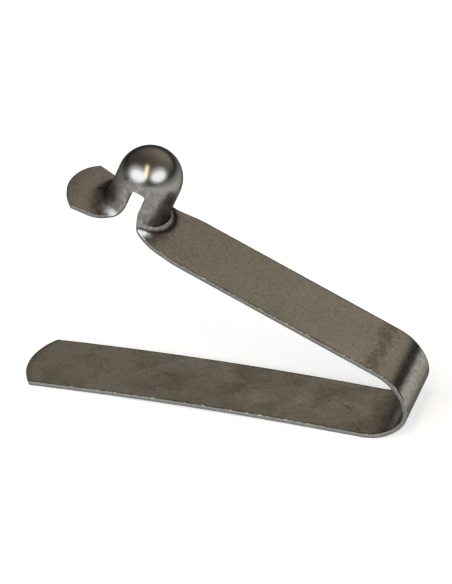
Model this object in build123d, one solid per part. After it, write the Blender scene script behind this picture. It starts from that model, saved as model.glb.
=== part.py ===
from build123d import *
from math import atan, degrees, sqrt
import os

os.makedirs("parts", exist_ok=True)

# Spring steel strip
strip_width = 10.0
strip_thickness = 0.6

# Lower arm, from its free tip to the bend, arched a little along its length
lower_arm_length = 47.4
lower_arm_rise = 0.55
lower_end_radius = 7.6

# Bend, outside radii, tighter at the nose than at the two flanks
opening_angle = 25.9
flank_radius = 6.9
nose_radius = 3.95
nose_turn = 57.0

# Upper arm, from the bend to the button's axis
button_distance = 36.4

# Finger tab, which curls down past the button's foot
tab_length = 2.975
tab_end_radius = 6.6
tab_bend_radius = 8.0

# Drawn button, outside sizes, from the upper arm's outer face
button_diameter = 8.25
button_height = 10.05
foot_radius = 2.0

# Slots through the button's two sides, from the dome down, flared towards the strip's edges
slot_width = 2.0
slot_corner_radius = 0.7
slot_flare_radius = 4.0
slot_flare_height = 3.1
slot_mouth_radius = 1.5

# Waist that the draw pulls into the strip's edges beside the button
waist_depth = 0.75
waist_length = 15.0
waist_end_radius = 12.0

# Lengths closer than this count as the same
length_tolerance = 0.001


def chord_depth(radius, chord):
    """How far an arc of this radius stands out from its chord."""
    return radius - sqrt(radius ** 2 - (chord / 2) ** 2)


def chord_radius(depth, chord):
    """Radius of the arc that stands this far out from its chord."""
    return (depth ** 2 + (chord / 2) ** 2) / (2 * depth)


def arc_after(line, radius, turn):
    """Arc that goes on from the end of a line without a kink."""
    return JernArc(line @ 1, line % 1, radius, turn)


def face_plane(line, end):
    """Plane on the strip's outer face at one end of a side view line, x along the strip, z outwards."""
    point, along = line @ end, line % end
    return Plane((point.X, 0, point.Y), x_dir=(along.X, 0, along.Y), z_dir=(along.Y, 0, -along.X))


def end_waste(end_radius):
    """What a rounded end leaves out of the square strip, for a tip at the origin that points along x."""
    depth = chord_depth(end_radius, strip_width)
    square_end = Pos(-depth / 2, 0) * Rectangle(depth, 2 * strip_width)
    return square_end - Pos(-end_radius, 0) * Circle(end_radius)


def sheet(skin_face):
    """Sheet metal under a face of the outer skin, with its edges square to the face."""
    return Solid.thicken(skin_face, -strip_thickness)


def is_through_edge(edge):
    """Whether an edge runs straight through the sheet, from its outer face to its inner one."""
    return abs(edge.length - strip_thickness) < length_tolerance


def axis_distance(edge):
    """How far the middle of an edge lies from the button's axis."""
    return Vector(edge.center().X, edge.center().Y).length


# Side view of the strip's outer face, from the free tip round the bend
half_bow = degrees(2 * atan(2 * lower_arm_rise / lower_arm_length))
flank_turn = (180 - opening_angle + half_bow - nose_turn) / 2
free_direction = Vector(1, 0).rotate(Axis.Z, half_bow)
lower_line = JernArc((0, 0), free_direction, chord_radius(lower_arm_rise, lower_arm_length), -2 * half_bow)
low_flank = arc_after(lower_line, flank_radius, flank_turn)
nose = arc_after(low_flank, nose_radius, nose_turn)
high_flank = arc_after(nose, flank_radius, flank_turn)
to_button = Line(high_flank @ 1, high_flank @ 1 + (high_flank % 1) * button_distance)

# Outer skin of the lower arm and of the bend
near_edge = Plane.XZ.offset(strip_width / 2)
across = (0, strip_width, 0)
lower_skin = Face.extrude(near_edge * lower_line, across)
lower_end = Rot(0, 0, 180) * end_waste(lower_end_radius)
lower_skin -= face_plane(lower_line, 0) * extrude(lower_end, strip_thickness, both=True)
bend_skin = [Face.extrude(near_edge * line, across) for line in (low_flank, nose, high_flank)]

# Side view of the button's outer face, from the top down to the arm
dome_radius = button_diameter / 2
dome_centre = button_height - dome_radius
dome_arc = CenterArc((0, dome_centre), dome_radius, 0, 90)
dome_inner_arc = CenterArc((0, dome_centre), dome_radius - strip_thickness, 0, 90)
wall_line = Line((dome_radius, dome_centre), (dome_radius, foot_radius))
foot_arc = arc_after(wall_line, foot_radius, 90)
foot_reach = dome_radius + foot_radius

# Plan outline of the upper arm and the tab, with the button's axis as its origin
tip = foot_reach + tab_length
plan = Pos((tip - button_distance) / 2, 0) * Rectangle(button_distance + tip, strip_width)
plan -= Pos(tip, 0) * end_waste(tab_end_radius)
waist_radius = chord_radius(waist_depth, waist_length)
waist_centre = strip_width / 2 - waist_depth + waist_radius
plan -= [Pos(0, side * waist_centre) * Circle(waist_radius) for side in (-1, 1)]
arm_side_ends = plan.vertices().sort_by(lambda vertex: abs(vertex.X + waist_length / 2))[:2]
plan = fillet(arm_side_ends, waist_end_radius)

# Outline of a side slot, seen along the strip's width
slot = Pos(0, dome_centre / 2) * Rectangle(slot_width, dome_centre)
slot = fillet(slot.vertices().group_by(Axis.Y)[-1], slot_corner_radius)
flare_centre = slot_width / 2 + slot_flare_radius
flare = Pos(0, slot_flare_height / 2) * Rectangle(2 * flare_centre, slot_flare_height)
flare -= [Pos(side * flare_centre, slot_flare_height) * Circle(slot_flare_radius) for side in (-1, 1)]

# Space inside the strip's edges and outside the slots, which the button's skin keeps to
slot_space = extrude(Plane.XZ * (slot + flare), strip_width, both=True)
skin_space = extrude(plan, button_height) - slot_space

# Dome of the button
dome_section = make_face([dome_arc, Line(dome_arc @ 1, dome_inner_arc @ 1), dome_inner_arc,
                          Line(dome_inner_arc @ 0, dome_arc @ 0)])
dome = revolve(Plane.XZ * dome_section, Axis.Z)

# Wall of the button, and the two halves of its foot with the slots' mouths rounded off
wall_skin = -Face.revolve(Plane.XZ * wall_line, 360, Axis.Z)
foot_skin = -Face.revolve(Plane.XZ * foot_arc, 360, Axis.Z)
button = [dome, *(sheet(face) for face in (wall_skin & skin_space).faces())]
for face in (foot_skin & skin_space).faces():
    foot = sheet(face)
    mouth_edges = foot.edges().filter_by(is_through_edge).sort_by(axis_distance)[2:4]
    button.append(fillet(mouth_edges, slot_mouth_radius))

# Flat of the upper arm round the button's foot, and the tab that curls down just past it
tab_start = foot_reach + strip_thickness / 2
flat = split(plan - Circle(foot_reach), Plane.YZ.offset(tab_start), keep=Keep.BOTTOM)
tab_line = JernArc((tab_start, 0), (1, 0), tab_bend_radius, -degrees(tip / tab_bend_radius))
tab_skin = -Face.extrude(near_edge * tab_line, across) & extrude(plan, strip_width, both=True)
button += [sheet(face) for face in [*flat.faces(), *tab_skin.faces()]]

# The whole strip, stood on its lower arm with the middle of its footprint as the origin
button_plane = face_plane(to_button, 1)
arms = [sheet(face) for face in [*lower_skin.faces(), *bend_skin]]
clip = arms[0].fuse(*arms[1:], *(button_plane * piece for piece in button))
box = clip.bounding_box()
clip = Pos(-box.center().X, -box.center().Y, -box.min.Z) * clip
export_step(clip, "parts/spring_clip.step")
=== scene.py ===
import bpy
from math import acos, asin, atan, cos, pi, radians, sin, sqrt, tan
from mathutils import Matrix, Vector


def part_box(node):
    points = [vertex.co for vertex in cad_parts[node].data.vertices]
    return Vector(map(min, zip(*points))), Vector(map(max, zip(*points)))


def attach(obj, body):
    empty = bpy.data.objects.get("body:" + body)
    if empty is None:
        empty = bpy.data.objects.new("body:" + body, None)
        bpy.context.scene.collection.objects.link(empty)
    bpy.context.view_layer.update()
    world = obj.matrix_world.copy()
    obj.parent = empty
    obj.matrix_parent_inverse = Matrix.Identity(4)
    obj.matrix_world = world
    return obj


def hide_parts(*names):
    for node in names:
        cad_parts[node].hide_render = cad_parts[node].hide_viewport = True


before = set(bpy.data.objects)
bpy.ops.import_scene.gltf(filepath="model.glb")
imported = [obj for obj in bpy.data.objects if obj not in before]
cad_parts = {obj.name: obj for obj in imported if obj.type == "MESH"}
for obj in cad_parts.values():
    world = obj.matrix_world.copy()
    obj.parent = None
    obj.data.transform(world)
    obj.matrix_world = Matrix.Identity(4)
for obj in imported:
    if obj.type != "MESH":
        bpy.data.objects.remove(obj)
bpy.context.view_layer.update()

# Camera. It stands where the photograph was taken from, to the front right and above, about
# 35 cm away and with a long lens. Its place and its lens were fitted to the strip's edges.
camera_data = bpy.data.cameras.new("camera")
camera_data.sensor_width = 36.0
camera_data.lens = 162.83
camera = bpy.data.objects.new("camera", camera_data)
bpy.context.scene.collection.objects.link(camera)
camera.matrix_world = Matrix((
    (0.940386, -0.131821, 0.313526, 0.106907),
    (0.333381, 0.539736, -0.773009, -0.258927),
    (-0.067323, 0.831449, 0.551507, 0.200615),
    (0.0, 0.0, 0.0, 1.0)))
bpy.context.scene.camera = camera

# Strip. The whole clip is one strip of spring steel, blanked to its outline, drawn up into the
# button, bent round and hardened. It is formed here in the same way: a flat grid, whose rows run
# across the strip, is laid on the outer face and gets its thickness. Sizes are in millimetres.
mm = 0.001
strip_width, strip_thickness = 10.0, 0.6
columns = 44


def chord_radius(depth, chord):
    """Radius of the arc that stands this far out from its chord."""
    return (depth ** 2 + (chord / 2) ** 2) / (2 * depth)


def between(first, last, part):
    """Value or point part of the way from the first to the last."""
    return first + (last - first) * part


# Lower arm, arched a little and with a rounded free end
lower_arm_length, lower_arm_rise, lower_arm_rows = 47.4, 0.55, 16
lower_end_radius, lower_end_length, lower_end_rows = 7.6, 6.0, 5
half_bow = 2 * atan(2 * lower_arm_rise / lower_arm_length)
lower_arm = (2 * half_bow * chord_radius(lower_arm_rise, lower_arm_length), -2 * half_bow)

# Bend, tighter at its nose than at its two flanks, so that the arms open by this angle. Each
# stretch of the side view is a length and a turn.
opening_angle = radians(25.9)
flank_radius, flank_rows = 6.9, 17
nose_radius, nose_turn, nose_rows = 3.95, radians(57), 19
flank_turn = (pi - opening_angle + half_bow - nose_turn) / 2
flank = (flank_radius * flank_turn, flank_turn)
nose = (nose_radius * nose_turn, nose_turn)


def side_view(distance):
    """Place and heading on the outer face, this far from the free tip."""
    place, heading = Vector((0, 0)), half_bow
    for length, turn in (lower_arm, flank, nose, flank):
        step = min(distance, length)
        turned = turn * step / length
        chord = step * (sin(turned / 2) / (turned / 2) if turned else 1.0)
        place += chord * Vector((cos(heading + turned / 2), sin(heading + turned / 2)))
        heading += turned
        distance -= step
    return place + distance * Vector((cos(heading), sin(heading))), heading


def on_strip(distance, across):
    """Point on the outer face from its distance along the strip and across it."""
    (x, z), _ = side_view(distance)
    return Vector((x, across, z))


# Upper arm, flat, as far as the button's axis. The button is made in its own frame: along the
# arm to the tab, across the strip, and out of the arm's outer face.
button_distance = 36.4
upper_arm_rows = 8
button_from_tip = sum(length for length, _ in (lower_arm, flank, nose, flank)) + button_distance
axis_foot, arm_heading = side_view(button_from_tip)
button_frame = Matrix.Translation((axis_foot.x, 0, axis_foot.y)) @ Matrix((
    (cos(arm_heading), 0, sin(arm_heading), 0),
    (0, 1, 0, 0),
    (sin(arm_heading), 0, -cos(arm_heading), 0),
    (0, 0, 0, 1)))

# Waist that the draw pulls into the strip's edges beside the button, led into by a softer arc
waist_depth, waist_length = 0.75, 15.0
waist_radius = chord_radius(waist_depth, waist_length)
waist_centre = strip_width / 2 - waist_depth + waist_radius
waist_end_radius = 12.0
waist_end_centre = strip_width / 2 - waist_end_radius
both_radii = waist_radius + waist_end_radius
waist_start = -sqrt(both_radii ** 2 - (waist_centre - waist_end_centre) ** 2)
waist_meets = waist_start * waist_radius / both_radii


def half_width(along):
    """Half of the strip's width, this far along from the button's axis."""
    if along < waist_start:
        return strip_width / 2
    if along < waist_meets:
        return waist_end_centre + sqrt(waist_end_radius ** 2 - (along - waist_start) ** 2)
    return waist_centre - sqrt(waist_radius ** 2 - along ** 2)


# Button, a hollow dome on a round wall. Its foot isn't quite round: it runs out flatter to the
# arm and climbs higher beside the tab.
dome_radius, button_height = 4.125, 10.05
dome_foot = button_height - dome_radius
arm_foot_run, arm_foot_rise = 2.65, 1.8
tab_foot_run, tab_foot_rise = 2.15, 2.8
foot_rows, wall_rows, dome_rows = 15, 10, 18

# Slot through each side of the button, flared towards the strip's edge and rounded off there
slot_half_width, slot_corner_radius = 1.0, 0.7
slot_flare_radius, slot_flare_height = 4.0, 3.1
slot_mouth_rounding = 0.138
wall_top = dome_foot - slot_corner_radius

# An angle that depends on itself, through the strip's width there, settles in this many rounds
settling_rounds = 40


def slot_limit(height):
    """Half of the slot's width at this height on the foot or the wall."""
    below = max(slot_flare_height - height, 0)
    return slot_half_width + slot_flare_radius - sqrt(slot_flare_radius ** 2 - below ** 2)


def ring_row(height, radius):
    """Row round the arm's half of the button's foot or wall, from one slot to the other."""
    to_slot = acos(slot_limit(height) / radius)
    turn = to_slot
    if radius > half_width(0):
        to_edge = pi / 4
        for _ in range(settling_rounds):
            to_edge = asin(min(half_width(-radius * cos(to_edge)) / radius, 1))
        middle, gap = (to_slot + to_edge) / 2, (to_slot - to_edge) / 2
        turn = middle - sqrt(gap ** 2 + (slot_mouth_rounding / radius) ** 2)
    return lambda side: Vector((-radius * cos(side * turn), radius * sin(side * turn), height))


def flat_row(foot, outer, part):
    """Row of the flat between the foot and a row further out, kept to the outline."""
    edge = between(foot(1), outer(1), part)
    widening = half_width(edge.x) / edge.y

    def row(side):
        point = between(foot(side), outer(side), part)
        return Vector((point.x, point.y * widening, 0))
    return row


def slot_top(part, side):
    """Point on a slot's rounded corner and then on half of its straight top."""
    corner_length = slot_corner_radius * pi / 2
    straight = slot_half_width - slot_corner_radius
    distance = part * (corner_length + straight)
    turned = min(distance / slot_corner_radius, pi / 2)
    half = straight + slot_corner_radius * cos(turned) - max(distance - corner_length, 0)
    height = dome_foot - slot_corner_radius * (1 - sin(turned))
    return Vector((-half, side * sqrt(dome_radius ** 2 - half ** 2), height))


def slot_chord(part, side):
    """Point on the straight line from one slot's top to the other's."""
    return between(slot_top(part, -1), slot_top(part, 1), (side + 1) / 2)


def dome_row(part):
    """Row over the top of the wall and half of the dome, filled in between the wall's last row,
    the dome's middle row and the tops of the two slots, and put back onto the dome."""
    turn = acos(slot_half_width / dome_radius)
    centre = Vector((0, 0, dome_foot))

    def row(side):
        low = Vector((-dome_radius * cos(side * turn), dome_radius * sin(side * turn), wall_top))
        high = centre + dome_radius * Vector((0, sin(side * pi / 2), cos(side * pi / 2)))
        chord = between(slot_chord(0, side), slot_chord(1, side), part)
        point = between(low, high, part) + slot_chord(part, side) - chord
        if point.z < dome_foot:
            around = Vector((point.x, point.y, 0)).normalized() * dome_radius
            return Vector((around.x, around.y, point.z))
        return centre + (point - centre).normalized() * dome_radius
    return row


def half_button(foot_run, foot_rise):
    """Rows of half of the button, from the outside of its foot to the top of its dome."""
    half = []
    for number in range(foot_rows):
        turned = pi / 2 * number / foot_rows
        radius = dome_radius + foot_run * (1 - sin(turned))
        half.append(ring_row(foot_rise * (1 - cos(turned)), radius))
    for number in range(wall_rows):
        half.append(ring_row(between(foot_rise, wall_top, number / wall_rows), dome_radius))
    return half + [dome_row(number / dome_rows) for number in range(dome_rows)]


def mirrored(row):
    """The same row on the tab's half of the button."""
    return lambda side: row(side) * Vector((-1, 1, 1))


# Finger tab from where the foot ends, with a rounded end, curled down
foot_reach = 6.125
tab_length, tab_end_radius, tab_bend_radius, tab_rows = 2.975, 6.6, 8.0, 9
tab_end_centre = foot_reach + tab_length - tab_end_radius
tab_start = foot_reach + strip_thickness / 2
tab_turn = pi / 4
for _ in range(settling_rounds):
    tab_turn = asin(half_width(tab_end_centre + tab_end_radius * cos(tab_turn)) / tab_end_radius)
tab_foot = mirrored(ring_row(0, dome_radius + tab_foot_run))


def tab_end(side):
    """Row along the rounded end of the tab, before it is curled."""
    turn = side * tab_turn
    return Vector((tab_end_centre + tab_end_radius * cos(turn), tab_end_radius * sin(turn), 0))


def tab_row(part):
    """Row of the tab between the foot and the tab's end, curled down."""
    def row(side):
        point = between(tab_foot(side), tab_end(side), part)
        past = max(point.x - tab_start, 0)
        curled = sqrt(tab_bend_radius ** 2 - past ** 2) - tab_bend_radius
        return Vector((point.x, point.y, curled))
    return row


# All rows in order: the rounded free end, the lower arm, the bend and the upper arm, and then in
# the button's frame the flat whose rows gather round the foot, the button and the tab
gather_from, gather_rows = -13.0, 16
rows = []


def lay(count, make_row):
    """Adds rows, each made from its part of the way through the stretch."""
    rows.extend(make_row(number / count) for number in range(count))


def free_end_row(part):
    """Row of the free end, which straightens from the rounded tip to the arm."""
    def row(side):
        across = side * strip_width / 2
        tip = lower_end_radius - sqrt(lower_end_radius ** 2 - across ** 2)
        return on_strip(between(tip, lower_end_length, part), across)
    return row


def straight_row(distance):
    """Row straight across the strip, this far from the free tip."""
    return lambda side: on_strip(distance, side * strip_width / 2)


def gather_row(side):
    """Last straight row of the upper arm, from which the rows gather round the foot."""
    return Vector((gather_from, side * strip_width / 2, 0))


def on_arm(row):
    """Row from the button's frame, put where it is on the strip."""
    return lambda side: button_frame @ row(side)


lay(lower_end_rows, free_end_row)
lay(lower_arm_rows, lambda part: straight_row(between(lower_end_length, lower_arm[0], part)))
so_far = lower_arm[0]
for (length, _), count in ((flank, flank_rows), (nose, nose_rows), (flank, flank_rows)):
    lay(count, lambda part: straight_row(so_far + part * length))
    so_far += length
last_straight = button_from_tip + gather_from
lay(upper_arm_rows, lambda part: straight_row(between(so_far, last_straight, part)))

arm_foot = ring_row(0, dome_radius + arm_foot_run)
button_rows = [flat_row(arm_foot, gather_row, number / gather_rows)
               for number in range(gather_rows, 0, -1)]
button_rows += half_button(arm_foot_run, arm_foot_rise) + [dome_row(1)]
button_rows += [mirrored(row) for row in reversed(half_button(tab_foot_run, tab_foot_rise))]
button_rows += [tab_row((number + 1) / tab_rows) for number in range(tab_rows)]
rows += [on_arm(row) for row in button_rows]

# The flat blank takes its rows' places. Each point keeps its distance along the strip and across
# it, and below its depth in the sheet, from 0 outside to 1 inside, for the steel's patterns.
bpy.ops.object.select_all(action="DESELECT")
bpy.ops.mesh.primitive_grid_add(x_subdivisions=len(rows) - 1, y_subdivisions=columns, size=1.0)
strip = bpy.context.active_object
strip.name = "strip"
distances = [0.0]
for before, after in zip(rows, rows[1:]):
    distances.append(distances[-1] + (after(0) - before(0)).length)
developed = strip.data.attributes.new("developed", "FLOAT_VECTOR", "POINT")
for vertex in strip.data.vertices:
    row = round((vertex.co.x + 0.5) * (len(rows) - 1))
    side = round((vertex.co.y + 0.5) * columns) * 2 / columns - 1
    vertex.co = rows[row](side)
    developed.data[vertex.index].vector = (distances[row], vertex.co.y, 0)
    vertex.co = vertex.co * mm
bpy.ops.object.mode_set(mode="EDIT")
bpy.ops.mesh.select_all(action="SELECT")
bpy.ops.mesh.flip_normals()
bpy.ops.object.mode_set(mode="OBJECT")

# It gets its thickness inwards. The faces, the cut rim and the rim's corners have a material each.
face_slot, rim_slot, corner_slot = range(3)
for _ in (face_slot, rim_slot, corner_slot):
    strip.data.materials.append(None)
skin_points = len(strip.data.vertices)
sheet = strip.modifiers.new("sheet", "SOLIDIFY")
sheet.thickness = strip_thickness * mm
sheet.offset = -1
sheet.use_even_offset = True
sheet.material_offset_rim = rim_slot
bpy.ops.object.modifier_apply(modifier="sheet")
for point in strip.data.attributes["developed"].data[skin_points:]:
    point.vector = (point.vector.x, point.vector.y, 1)

# It stands where its solid stands, and its cut edges are rounded a little by the tumbling
edge_rounding, cut_angle, smooth_angle = 0.05, radians(40), radians(60)
lowest = [min(vertex.co[axis] for vertex in strip.data.vertices) for axis in range(3)]
solid_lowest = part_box("spring_clip")[0]
shift = Vector((solid_lowest[0] - lowest[0], 0, solid_lowest[2] - lowest[2]))
for vertex in strip.data.vertices:
    vertex.co += shift
rounding = strip.modifiers.new("rounding", "BEVEL")
rounding.limit_method = "ANGLE"
rounding.angle_limit = cut_angle
rounding.width = edge_rounding * mm
rounding.segments = 2
rounding.use_clamp_overlap = False
rounding.material = corner_slot
bpy.ops.object.modifier_apply(modifier="rounding")
bpy.ops.object.shade_smooth_by_angle(angle=smooth_angle)


def linear(written):
    """Shader colour from a written sRGB one."""
    channels = [int(written[start:start + 2], 16) / 255 for start in (1, 3, 5)]
    return (*(c / 12.92 if c <= 0.04045 else ((c + 0.055) / 1.055) ** 2.4 for c in channels), 1.0)


def add(tree, kind, inputs=(), **settings):
    """Adds a shader node with its settings. Its inputs are given by name, or in the order that
    the settings leave them in, and each is a value, or a node or a socket to link."""
    new = tree.nodes.new("ShaderNode" + kind)
    for name, setting in settings.items():
        setattr(new, name, setting)
    if isinstance(inputs, dict):
        sockets, inputs = [new.inputs[name] for name in inputs], inputs.values()
    else:
        sockets = [socket for socket in new.inputs if socket.enabled]
    for socket, value in zip(sockets, inputs):
        if isinstance(value, bpy.types.Node):
            value = next(output for output in value.outputs if output.enabled)
        if isinstance(value, bpy.types.NodeSocket):
            tree.links.new(value, socket)
        else:
            socket.default_value = value
    return new


def new_material(name):
    """Material with nothing in it yet, and its node tree."""
    material = bpy.data.materials.new(name)
    material.use_nodes = True
    material.node_tree.nodes.clear()
    return material, material.node_tree


# Faces of the strip: spring steel, hardened, then tumbled bright with stone chips. To the eye it
# is a satin grey with a fine even mottle and brownish clouds where oil dried on it, and smoother
# and colder on the button, which the drawing tools burnished.
steel, tree = new_material("tumbled_spring_steel")
place = add(tree, "TexCoord").outputs["Object"]
in_mm = add(tree, "Mapping", {"Vector": place, "Scale": (1 / mm, 1 / mm, 1 / mm)})

# Millimetres along the blank from its free tip and across it, and the depth in the sheet. The
# bend reaches from 47 to 63 along, and the button's axis is at 100. A noise stays almost wholly
# between its low and its high.
on_blank = add(tree, "Attribute", attribute_name="developed").outputs["Vector"]
along, across, depth = add(tree, "SeparateXYZ", [on_blank]).outputs
noise_low, noise_high = 0.3, 0.7

# Clouds of dried oil, about 4 mm across and drawn out of shape by a slower noise. They are strong
# on the lower arm and faint past the bend. The tone is also made paler to the free tip and darker
# to the button.
cloud_size, drift_size, drift, cloud_contrast, past_bend_contrast = 4.2, 4.0, 6.0, 2.8, 0.22
dark_cloud, pale_cloud = linear("#827F77"), linear("#ABA9A3")
drifting = add(tree, "TexNoise", {"Vector": in_mm, "Scale": 1 / drift_size, "Detail": 2.0})
drifting = add(tree, "VectorMath", (drifting.outputs["Color"], (drift, drift, drift)),
               operation="MULTIPLY")
drifted = add(tree, "VectorMath", (in_mm, drifting), operation="ADD")
clouds = add(tree, "TexNoise", {
    "Vector": drifted, "Scale": 1 / cloud_size, "Detail": 6.0, "Roughness": 0.66})
on_lower_arm = add(tree, "MapRange", (along, 52.0, 60.0, 1.0, past_bend_contrast),
                   interpolation_type="SMOOTHSTEP")
cloud = add(tree, "Math", (clouds, 0.5), operation="SUBTRACT")
cloud = add(tree, "Math", (cloud, on_lower_arm), operation="MULTIPLY")
cloud = add(tree, "Math", (cloud, cloud_contrast, 0.5), operation="MULTIPLY_ADD")
paler_tip = add(tree, "MapRange", (along, 0.0, 26.0, 0.47, -0.08))
cloud = add(tree, "Math", (on_lower_arm, paler_tip, cloud), operation="MULTIPLY_ADD")
darker_end = add(tree, "MapRange", (along, 66.0, 96.0, 0.10, -0.22))
cloud = add(tree, "Math", (cloud, darker_end), operation="ADD", use_clamp=True)
colour = add(tree, "Mix", (cloud, dark_cloud, pale_cloud), data_type="RGBA")

# Mottle of the tumbling. The chips' dents are about 0.1 mm across, too fine to show, so they are
# drawn coarser.
dent_size, dent_depth = 0.36, 0.0008
mottle = add(tree, "TexNoise", {
    "Vector": in_mm, "Scale": 1 / dent_size, "Detail": 3.0, "Roughness": 0.7, "Distortion": 0.4})
mottle_tone = add(tree, "MapRange", (mottle, noise_low, noise_high, 0.77, 1.23))
colour = add(tree, "Mix", (1.0, colour, mottle_tone), data_type="RGBA", blend_type="MULTIPLY")

# Scuffs of 0.6 mm on the outside of the bend, where it slid round the forming tool
scuff_size, scuffs_middle = 0.6, 56.5
scuffs = add(tree, "TexNoise", {
    "Vector": in_mm, "Scale": 1 / scuff_size, "Detail": 4.0, "Roughness": 0.7,
    "Distortion": 0.8})
scuff_tone = add(tree, "MapRange", (scuffs, 0.35, 0.65, 0.84, 1.22))
from_scuffs = add(tree, "Math", (along, scuffs_middle), operation="SUBTRACT")
from_scuffs = add(tree, "Math", [from_scuffs], operation="ABSOLUTE")
scuffed = add(tree, "MapRange", (from_scuffs, 6.0, 3.0), interpolation_type="SMOOTHSTEP")
scuff_tone = add(tree, "Mix", (scuffed, 1.0, scuff_tone), data_type="FLOAT")
colour = add(tree, "Mix", (1.0, colour, scuff_tone), data_type="RGBA", blend_type="MULTIPLY")

# Stain across the upper arm, just past the bend, made ragged by patches of 0.9 mm
stain_patch, stain_middle, stain_strength, stain_colour = 0.9, 64.4, 0.62, linear("#5E5C56")
patches = add(tree, "TexNoise", {
    "Vector": in_mm, "Scale": 1 / stain_patch, "Detail": 4.0, "Roughness": 0.7})
stain_reach = add(tree, "Math", (patches, 6.0, -2.1), operation="MULTIPLY_ADD")
from_stain = add(tree, "Math", (along, stain_middle), operation="SUBTRACT")
from_stain = add(tree, "Math", [from_stain], operation="ABSOLUTE")
stain = add(tree, "Math", (stain_reach, from_stain), operation="SUBTRACT")
stain = add(tree, "MapRange", (stain, -0.6, 0.9, 0.0, stain_strength),
            interpolation_type="SMOOTHSTEP")
colour = add(tree, "Mix", (stain, colour, stain_colour), data_type="RGBA")

# Painted shade beside the cut edges, for the dark that the rolled-over edge reflects, in broken
# lines 0.3 mm wide and about 1.4 mm long
edge_shade_length, edge_shade_strength, edge_shade_colour = 1.4, 0.75, linear("#4A4740")
from_middle_line = add(tree, "Math", [across], operation="ABSOLUTE")
by_edge = add(tree, "MapRange", (from_middle_line, 4.70, 4.86))
broken = add(tree, "TexNoise", {"Vector": in_mm, "Scale": 1 / edge_shade_length, "Detail": 3.0})
broken = add(tree, "MapRange", (broken, 0.40, 0.55, 0.05, edge_shade_strength))
edge_shade = add(tree, "Math", (by_edge, broken), operation="MULTIPLY")
colour = add(tree, "Mix", (edge_shade, colour, edge_shade_colour), data_type="RGBA")

# Two small nicks in the lower arm's upper face, made ragged by a noise of 0.33 mm: where they
# are along and across, and how long and wide
nicks = (44.3, -0.2, 1.15, 0.18), (47.0, -4.2, 0.30, 0.20)
nick_ragging, nick_turn, nick_strength, nick_colour = 0.33, -0.5, 0.6, linear("#35322C")
ragged = add(tree, "TexNoise", {"Vector": in_mm, "Scale": 1 / nick_ragging, "Detail": 2.0})
for nick_along, nick_across, nick_length, nick_width in nicks:
    on_nick = add(tree, "Mapping", {
        "Vector": on_blank, "Location": (nick_along, nick_across, 1), "Rotation": (0, 0, nick_turn),
        "Scale": (nick_length, nick_width, 0.5)}, vector_type="TEXTURE")
    from_nick = add(tree, "VectorMath", [on_nick], operation="LENGTH")
    from_nick = add(tree, "Math", (ragged, 3.0, from_nick), operation="MULTIPLY_ADD")
    nick = add(tree, "MapRange", (from_nick, 2.6, 2.0, 0.0, nick_strength))
    colour = add(tree, "Mix", (nick, colour, nick_colour), data_type="RGBA")

# Where the steel is drawn, in the button's own frame in millimetres. The flat turns into the foot
# between 7.1 and 5.4 from the axis. The foot ends 1.9 up, and the wall turns into the dome at 6.6.
button_place = Matrix.Translation(shift) @ Matrix.Scale(mm, 4) @ button_frame
in_button = add(tree, "Mapping", {
    "Vector": place, "Location": button_place.translation,
    "Rotation": button_place.to_3x3().normalized().to_euler(), "Scale": (mm, mm, mm)},
    vector_type="TEXTURE")
to_tab, _, height = add(tree, "SeparateXYZ", [in_button]).outputs
off_axis = add(tree, "VectorMath", (in_button, (1, 1, 0)), operation="MULTIPLY")
around = add(tree, "VectorMath", [off_axis], operation="NORMALIZE")
from_axis = add(tree, "VectorMath", [off_axis], operation="LENGTH")
drawn = add(tree, "MapRange", (from_axis, 5.4, 7.1, 1.0, 0.0), interpolation_type="SMOOTHSTEP")
above = add(tree, "MapRange", (height, -1.4, -1.0))
drawn = add(tree, "Math", (drawn, above), operation="MULTIPLY")
on_dome = add(tree, "MapRange", (height, 6.6, 7.8), interpolation_type="SMOOTHSTEP")
on_foot = add(tree, "MapRange", (height, 1.9, 1.3), interpolation_type="SMOOTHSTEP")

# Scores of the drawing tools, up the wall and round the dome. Real ones are about 0.05 mm wide,
# too fine to show, so they are drawn coarser.
wall_score_width, wall_score_length, dome_score_width = 0.295, 2.86, 0.222
scores_round = dome_radius / wall_score_width
up_wall = add(tree, "VectorMath", (in_button, (0, 0, 1 / wall_score_length)),
              operation="MULTIPLY")
up_wall = add(tree, "VectorMath", (around, (scores_round, scores_round, 0), up_wall),
              operation="MULTIPLY_ADD")
wall_scores = add(tree, "TexNoise", {
    "Vector": up_wall, "Scale": 1.0, "Detail": 4.0, "Roughness": 0.7})
over_dome = add(tree, "Math", (from_axis, 1 / dome_score_width), operation="MULTIPLY")
over_dome = add(tree, "CombineXYZ", {"Z": over_dome})
over_dome = add(tree, "VectorMath", (around, over_dome), operation="ADD")
dome_scores = add(tree, "TexNoise", {
    "Vector": over_dome, "Scale": 1.0, "Detail": 3.0, "Roughness": 0.7})
scores = add(tree, "Mix", (on_dome, wall_scores, dome_scores), data_type="FLOAT")

# Specks and larger smudges on the wall, where grease stayed in the scores. The dome is clean.
speck_size, smudge_size, drawn_steel = 0.67, 1.33, linear("#928F8B")
specks = add(tree, "TexNoise", {
    "Vector": in_mm, "Scale": 1 / speck_size, "Detail": 4.0, "Roughness": 0.75})
speck_tone = add(tree, "MapRange", (specks, 0.38, 0.62, 0.66, 1.12))
smudges = add(tree, "TexNoise", {
    "Vector": in_mm, "Scale": 1 / smudge_size, "Detail": 4.0, "Roughness": 0.7,
    "Distortion": 0.5})
smudge_tone = add(tree, "MapRange", (smudges, 0.33, 0.44, 0.62, 1.0))
wall_tone = add(tree, "MapRange", (scores, noise_low, noise_high, 0.74, 1.10))
wall_tone = add(tree, "Math", (wall_tone, speck_tone), operation="MULTIPLY")
wall_tone = add(tree, "Math", (wall_tone, smudge_tone), operation="MULTIPLY")
drawn_tone = add(tree, "Mix", (on_dome, wall_tone, 1.0), data_type="FLOAT")
drawn_colour = add(tree, "Mix", (1.0, drawn_steel, drawn_tone), data_type="RGBA",
                   blend_type="MULTIPLY")
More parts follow.
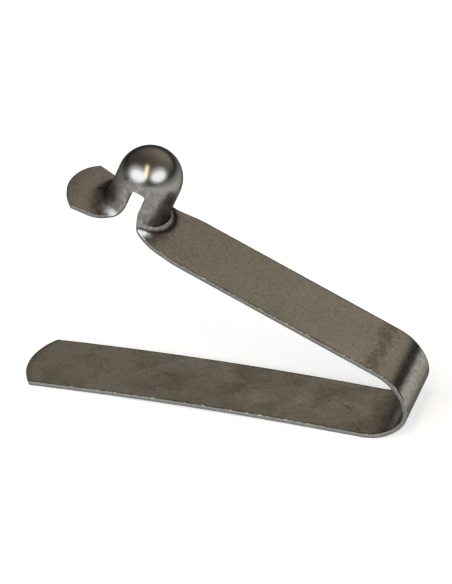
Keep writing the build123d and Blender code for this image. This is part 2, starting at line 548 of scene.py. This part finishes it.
colour = add(tree, "Mix", (drawn, colour, drawn_colour), data_type="RGBA")

# Roughness. The flats are satin, and duller inside the bend, where the forming tool pressed. The
# wall is matt with its scores, the dome is smoother, and the foot is smooth, with a matt ring
# pressed into it on the tab's side.
bend_middle, bend_dullness, ring_radius, ring_dullness, smooth_foot = 55.4, 0.12, 4.95, 0.20, 0.18
flat_roughness = add(tree, "MapRange", (mottle, noise_low, noise_high, 0.15, 0.22))
from_bend = add(tree, "Math", (along, bend_middle), operation="SUBTRACT")
from_bend = add(tree, "Math", [from_bend], operation="ABSOLUTE")
in_bend = add(tree, "MapRange", (from_bend, 10.0, 6.0), interpolation_type="SMOOTHSTEP")
in_bend = add(tree, "Math", (in_bend, depth), operation="MULTIPLY")
flat_roughness = add(tree, "Math", (in_bend, bend_dullness, flat_roughness),
                     operation="MULTIPLY_ADD")
ring = add(tree, "Math", (from_axis, ring_radius), operation="SUBTRACT")
ring = add(tree, "Math", [ring], operation="ABSOLUTE")
ring = add(tree, "MapRange", (ring, 0.7, 0.2, 0.0, ring_dullness),
           interpolation_type="SMOOTHSTEP")
tab_side = add(tree, "MapRange", (to_tab, 0.0, 1.0))
foot_roughness = add(tree, "Math", (ring, tab_side, smooth_foot), operation="MULTIPLY_ADD")
wall_roughness = add(tree, "MapRange", (scores, noise_low, noise_high, 0.33, 0.46))
dome_roughness = add(tree, "MapRange", (scores, noise_low, noise_high, 0.23, 0.25))
drawn_roughness = add(tree, "Mix", (on_foot, wall_roughness, foot_roughness), data_type="FLOAT")
drawn_roughness = add(tree, "Mix", (on_dome, drawn_roughness, dome_roughness), data_type="FLOAT")
roughness = add(tree, "Mix", (drawn, flat_roughness, drawn_roughness), data_type="FLOAT")

# Relief of the dents and of the wall's scores. A film of oil darkens the pale rim that clean metal
# has at a grazing angle.
oil_tint = linear("#828282")
relief = add(tree, "Mix", (on_dome, scores, 0.5), data_type="FLOAT")
relief = add(tree, "Mix", (drawn, mottle, relief), data_type="FLOAT")
relief = add(tree, "Bump", {"Height": relief, "Distance": dent_depth * mm, "Strength": 1.0})
metal = add(tree, "BsdfPrincipled", {
    "Base Color": colour, "Metallic": 1.0, "Roughness": roughness, "Specular Tint": oil_tint,
    "Normal": relief})
add(tree, "OutputMaterial", [metal])

# Cut edges of the strip: the same steel, sheared by the blanking tool. To the eye they are bare,
# paler than the faces and scored through the thickness. They are darker along their lower side on
# each arm, and darker on the upper arm. Real scores are about 0.05 mm wide, too fine to show, and
# are drawn coarser.
edge, tree = new_material("sheared_spring_steel")
scores_per_mm, score_length = 6.0, 1.0
lower_side_steel, upper_side_steel = linear("#797976"), linear("#8B8A86")
on_blank = add(tree, "Attribute", attribute_name="developed").outputs["Vector"]
along, _, depth = add(tree, "SeparateXYZ", [on_blank]).outputs
through = strip_thickness / score_length
shear = add(tree, "VectorMath", (on_blank, (scores_per_mm, scores_per_mm, through)),
            operation="MULTIPLY")
shear = add(tree, "TexNoise", {"Vector": shear, "Scale": 1.0, "Detail": 3.0})
on_upper_arm = add(tree, "MapRange", (along, 50.0, 60.0, 0.0, 1.0))
from_below = add(tree, "Math", (depth, on_upper_arm), operation="SUBTRACT")
from_below = add(tree, "Math", [from_below], operation="ABSOLUTE")
wavy = add(tree, "Math", (shear, 0.35, -0.17), operation="MULTIPLY_ADD")
from_below = add(tree, "Math", (from_below, wavy), operation="ADD")
upper_side = add(tree, "MapRange", (from_below, 0.40, 0.55), interpolation_type="SMOOTHSTEP")
colour = add(tree, "Mix", (upper_side, lower_side_steel, upper_side_steel), data_type="RGBA")
shear_tone = add(tree, "MapRange", (shear, noise_low, noise_high, 0.80, 1.15))
upper_arm_dimming = add(tree, "MapRange", (along, 50.0, 60.0, 1.0, 0.87))
shear_tone = add(tree, "Math", (shear_tone, upper_arm_dimming), operation="MULTIPLY")
colour = add(tree, "Mix", (1.0, colour, shear_tone), data_type="RGBA", blend_type="MULTIPLY")
roughness = add(tree, "MapRange", (shear, noise_low, noise_high, 0.38, 0.5))
metal = add(tree, "BsdfPrincipled", {
    "Base Color": colour, "Metallic": 1.0, "Roughness": roughness,
    "Specular Tint": linear("#AAAAAA")})
add(tree, "OutputMaterial", [metal])

# Corners of the cut: the same steel, dragged over by the punch and rounded by the tumbling. To
# the eye they are a thin dark line, which is painted shade for the dark that the rounded corner
# reflects, with bright flecks of burr about 0.5 mm long, whose brightness is a painted highlight.
corner, tree = new_material("burred_spring_steel")
flecks_per_mm = 1.9
# Painted shade for the thin dark line, and the burr's flecks painted bright as highlights
corner_shade, burr_highlight = linear("#5A5852"), linear("#D8D6CE")
on_blank = add(tree, "Attribute", attribute_name="developed").outputs["Vector"]
flecks = add(tree, "VectorMath", (on_blank, (flecks_per_mm, flecks_per_mm, flecks_per_mm)),
             operation="MULTIPLY")
flecks = add(tree, "TexNoise", {"Vector": flecks, "Scale": 1.0, "Detail": 3.0, "Roughness": 0.7})
flecks = add(tree, "MapRange", (flecks, 0.53, 0.66))
colour = add(tree, "Mix", (flecks, corner_shade, burr_highlight), data_type="RGBA")
metal = add(tree, "BsdfPrincipled", {
    "Base Color": colour, "Metallic": 1.0, "Roughness": 0.35, "Specular Tint": oil_tint})
add(tree, "OutputMaterial", [metal])

for slot, material in zip(strip.material_slots, (steel, edge, corner)):
    slot.material = material
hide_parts("spring_clip")
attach(strip, "root")

# Floor. A wide sheet of matt white paper, which the clip stands on. Near the clip the camera and
# the metal see it brought up to white, with the clip's shadow kept. Further out it is painted
# duller grey, a painted falloff of the studio's light, which the metal reflects.
bpy.ops.object.select_all(action="DESELECT")
bpy.ops.mesh.primitive_plane_add(size=6.0)
floor = bpy.context.active_object
floor.name = "floor"
near_white, far_white = linear("#EBEBEB"), linear("#A4A4A4")
near_level, far_level = 0.40, 0.13
paper, tree = new_material("matt_white_paper")
place = add(tree, "TexCoord").outputs["Object"]
# Painted pool of light: inside this patch the paper is white, outside it is painted duller grey
lit_patch = add(tree, "Mapping", {
    "Vector": place, "Location": (0.23, 0.21, 0), "Scale": (2.3, 1, 1)})
from_patch = add(tree, "VectorMath", [lit_patch], operation="LENGTH")
far_out = add(tree, "MapRange", (from_patch, 0.41, 0.68))
white = add(tree, "Mix", (far_out, near_white, far_white), data_type="RGBA")
white = add(tree, "BsdfDiffuse", {"Color": white})
rays = add(tree, "LightPath").outputs
seen = add(tree, "Math", (rays["Is Camera Ray"], rays["Is Glossy Ray"]), operation="MAXIMUM")
seen = add(tree, "Math", (seen, rays["Is Transmission Ray"]), operation="MAXIMUM")
level = add(tree, "MapRange", {"Value": far_out, "To Min": near_level, "To Max": far_level})
glow = add(tree, "Emission", {"Strength": level})
unlit = add(tree, "Emission", {"Strength": 0.0})
glow = add(tree, "MixShader", (seen, unlit, glow))
white = add(tree, "AddShader", (white, glow))
add(tree, "OutputMaterial", [white])
floor.data.materials.append(paper)

# Studio. A dim room with a warm lit wall, which is what the flat faces reflect, and which is dark
# at its foot.
world = bpy.data.worlds.new("studio")
bpy.context.scene.world = world
world.use_nodes = True
tree = world.node_tree
tree.nodes.clear()
lit_wall, dim_room, wall_foot = linear("#CBC0B1"), linear("#5F5951"), linear("#42423F")
wall_azimuth, wall_elevation, wall_focus = radians(162), radians(27), 3.0


def direction(azimuth, elevation):
    """Direction from the clip, with the azimuth from the front to the right, in radians."""
    return Vector((sin(azimuth) * cos(elevation), -cos(azimuth) * cos(elevation), sin(elevation)))


way = add(tree, "TexCoord").outputs["Generated"]
to_wall = add(tree, "VectorMath", (way, direction(wall_azimuth, wall_elevation)),
              operation="DOT_PRODUCT")
to_wall = add(tree, "Math", (to_wall, 0.0), operation="MAXIMUM")
to_wall = add(tree, "Math", (to_wall, wall_focus), operation="POWER")
_, _, way_up = add(tree, "SeparateXYZ", [way]).outputs
above_foot = add(tree, "MapRange", (way_up, 0.19, 0.33), interpolation_type="SMOOTHSTEP")
room = add(tree, "Mix", (to_wall, dim_room, lit_wall), data_type="RGBA")
room = add(tree, "Mix", (above_foot, wall_foot, room), data_type="RGBA")
room = add(tree, "Background", {"Color": room, "Strength": 1.0})
add(tree, "OutputWorld", [room])

# Lamps. Two large soft boxes stand in front, each with a brighter middle, and a narrow warm lamp
# stands in the gap between them. Each has the azimuths and the elevations that it spans as the
# clip sees it, in degrees, its radiance and its colour.
lamp_distance = 1.2
cool_white, warm_white = "#F0F7FF", "#FFECC2"
for name, azimuths, elevations, radiance, colour in (
        ("left_box", (-80, 6), (10, 60), 0.94, cool_white),
        ("left_box_middle", (-62, 5), (11, 50), 2.7, cool_white),
        ("right_box", (25, 98), (10, 58), 0.94, cool_white),
        ("right_box_middle", (27, 87), (11, 46), 2.6, cool_white),
        ("warm_lamp", (-2, 12), (30, 76), 6.4, warm_white)):
    azimuth, elevation = radians(sum(azimuths) / 2), radians(sum(elevations) / 2)
    toward = direction(azimuth, elevation)
    lamp = bpy.data.lights.new(name, "AREA")
    lamp.shape = "ELLIPSE"
    lamp.size = 2 * lamp_distance * tan(radians(azimuths[1] - azimuths[0]) / 2) * cos(elevation)
    lamp.size_y = 2 * lamp_distance * tan(radians(elevations[1] - elevations[0]) / 2)
    lamp.energy = radiance * pi * lamp.size * lamp.size_y * (pi / 4)
    lamp.color = linear(colour)[:3]
    lamp_object = bpy.data.objects.new(name, lamp)
    lamp_object.location = toward * lamp_distance
    lamp_object.rotation_euler = toward.to_track_quat("Z", "Y").to_euler()
    bpy.context.scene.collection.objects.link(lamp_object)

bpy.context.scene.view_settings.view_transform = "Standard"
